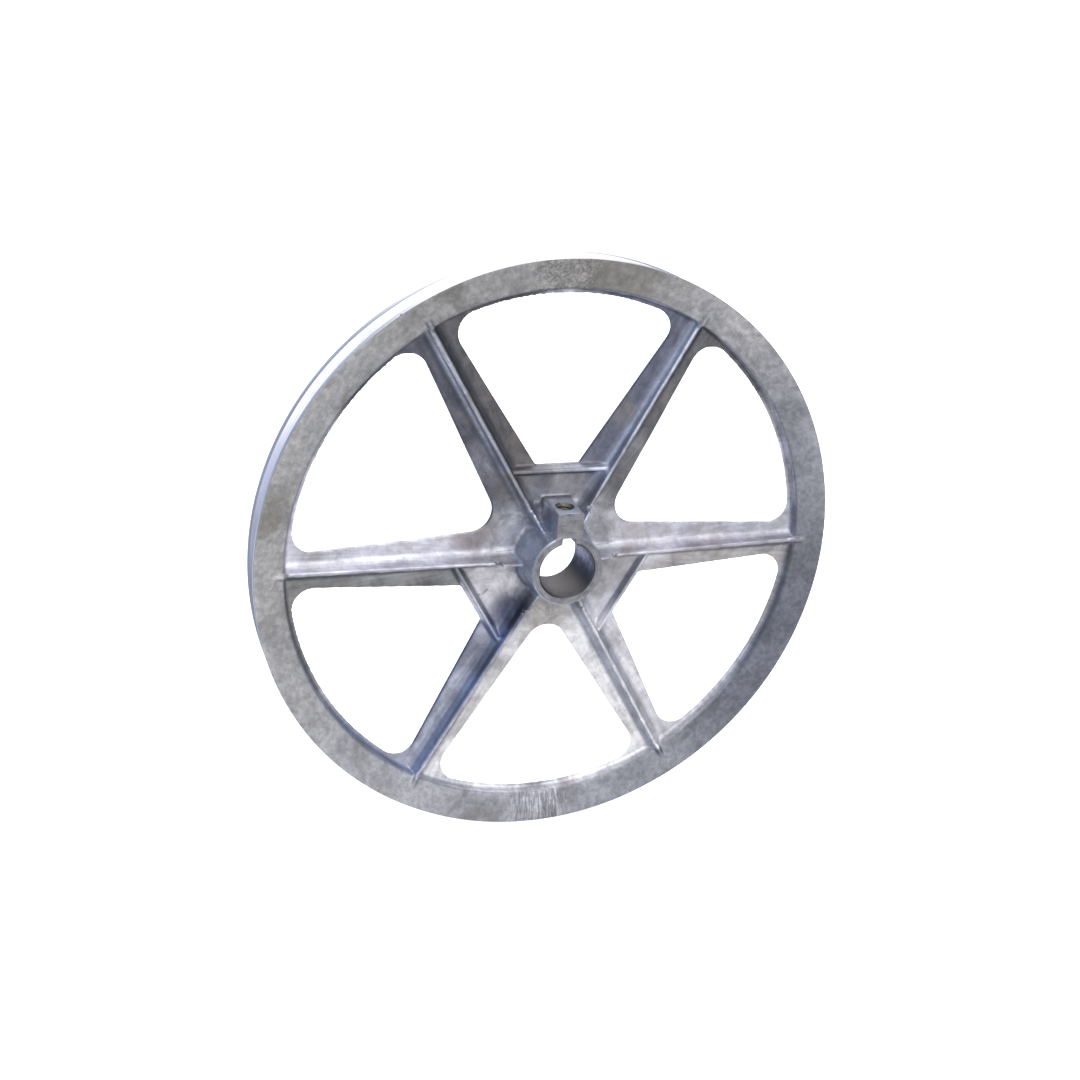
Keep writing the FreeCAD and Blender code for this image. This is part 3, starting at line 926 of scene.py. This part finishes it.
# ---- studio -------------------------------------------------------------------------------------
def make_floor():
    """A white paper floor swept up all round, left out of the metal's reflections."""
    z = -rim_radius - 0.2 * MM
    flat, bend, top = 7.0, 2.0, 5.0             # metres: flat radius, sweep radius, wall height
    turns = [math.radians(t) for t in range(0, 91, 15)]
    profile = [(flat + bend * math.sin(t), z + bend * (1 - math.cos(t))) for t in turns]
    profile.append((flat + bend, z + top))
    count = 96
    points = [
        (r * math.cos(2 * math.pi * i / count), r * math.sin(2 * math.pi * i / count), height)
        for r, height in profile for i in range(count)
    ]
    faces = [tuple(range(count))]
    for ring in range(len(profile) - 1):
        a, b = ring * count, (ring + 1) * count
        faces += [(a + i, b + i, b + (i + 1) % count, a + (i + 1) % count) for i in range(count)]
    floor = object_from("floor", points, faces)
    material = bpy.data.materials.new("floor_paper")
    graph = Graph(material)
    place = graph.add("ShaderNodeTexCoord").outputs["Object"]
    fibre = graph.noise(place, 900.0, 3.0)
    tone = graph.mix(graph.smoothstep(fibre, 0.3, 0.7), grey(0.90), grey(0.93))
    height = graph.add("ShaderNodeSeparateXYZ", {0: place}).outputs[2]
    shader = graph.add("ShaderNodeBsdfPrincipled", {
        "Base Color": tone, "Roughness": 0.95, "Emission Color": tone,
        "Emission Strength": graph.smoothstep(height, z, z + bend, 0.0, 0.95),
    })
    graph.add("ShaderNodeOutputMaterial", {"Surface": shader.outputs[0]})
    material.cycles.emission_sampling = "NONE"
    floor.data.materials.append(material)
    floor.visible_glossy = False
    floor.visible_shadow = False
    return floor


def lobe(graph, direction, towards, inner, outer):
    """1 within `inner` degrees of `towards`, fading to 0 at `outer` degrees."""
    towards = Vector(towards).normalized()
    facing = graph.add(
        "ShaderNodeVectorMath", {0: direction, 1: towards}, operation="DOT_PRODUCT"
    ).outputs["Value"]
    return graph.smoothstep(facing, math.cos(math.radians(outer)), math.cos(math.radians(inner)))


# soft studio panels: direction from the wheel, core and outer radius in degrees, light
studio_panels = [
    ((0.0, 1.0, -0.12), 20, 58, (0.50, 0.55, 0.72)),
    ((-0.35, 0.45, -0.80), 18, 44, (0.85, 0.88, 1.00)),
    ((-0.70, 0.69, 0.0), 13, 29, (0.07, 0.11, 0.27)),
    ((-0.36, 0.66, 0.66), 8, 20, (2.0, 2.0, 2.1)),
    ((0.25, -0.74, -0.62), 12, 27, (1.25, 1.24, 1.25)),
    ((0.62, -0.67, -0.40), 8, 24, (0.80, 0.79, 0.78)),
    ((0.30, -0.93, -0.02), 6, 20, (0.95, 0.96, 1.05)),
    ((-0.47, -0.87, -0.12), 8, 15, (0.60, 0.63, 0.86)),
    ((-0.30, -0.93, 0.18), 9, 16, (1.45, 1.48, 1.55)),
    ((0.25, -0.85, 0.45), 12, 28, (2.0, 2.0, 2.05)),
    ((-0.86, 0.0, 0.52), 5, 17, (1.1, 1.25, 1.5)),
    ((0.30, 0.80, 0.55), 12, 34, (1.7, 1.7, 1.85)),
    ((0.0, -0.1, 1.0), 22, 50, (1.2, 1.2, 1.25)),
]


def make_world():
    """A dim blue studio with soft panels, seen by the wheel as reflections."""
    world = bpy.data.worlds.new("studio")
    bpy.context.scene.world = world
    graph = Graph(world)
    direction = graph.add("ShaderNodeTexCoord").outputs["Generated"]
    sky = (0.27, 0.30, 0.37, 1.0)
    for towards, inner, outer, colour in studio_panels:
        sky = graph.mix(lobe(graph, direction, towards, inner, outer), sky, (*colour, 1.0))
    background = graph.add("ShaderNodeBackground", {"Color": sky, "Strength": 1.0})
    graph.add("ShaderNodeOutputWorld", {"Surface": background.outputs[0]})


def make_floor_light(floor):
    """A wide soft sun that lights the paper floor alone."""
    data = bpy.data.lights.new("floor_light", "SUN")
    data.energy = 3.7
    data.angle = math.radians(120)
    lamp = new_object("floor_light", data)
    lamp.location = (0, 0, 2)
    lit = bpy.data.collections.new("lit_by_floor_light")
    lit.objects.link(floor)
    lamp.light_linking.receiver_collection = lit
    lamp.light_linking.blocker_collection = lit


def make_camera():
    """The photograph's camera: its angles, lens and place were fitted to the wheel's outline."""
    azimuth = math.radians(-20.44)
    elevation = math.radians(21.22)
    roll = math.radians(3.78)
    back = Vector((
        math.sin(azimuth) * math.cos(elevation),
        -math.cos(azimuth) * math.cos(elevation),
        math.sin(elevation),
    ))
    level = Vector((math.cos(azimuth), math.sin(azimuth), 0))
    above = back.cross(level)
    right = level * math.cos(roll) + above * math.sin(roll)
    up = back.cross(right)
    data = bpy.data.cameras.new("photo_camera")
    data.sensor_width = 36
    data.lens = 46.92
    data.clip_start = 0.01
    camera = new_object("photo_camera", data)
    place = Matrix.Translation((-0.2143, -0.5595, 0.2386))
    turn = Matrix((right, up, back)).transposed().to_4x4()
    camera.matrix_world = place @ turn
    bpy.context.scene.camera = camera


cast_aluminium = make_cast_aluminium()
machined_aluminium = make_machined_aluminium()
thread_in_painted_shade = make_thread_in_painted_shade()
screw_steel = make_screw_steel()
casting()
set_screw()
make_floor_light(make_floor())
make_world()
make_camera()
bpy.context.scene.view_settings.view_transform = "Standard"
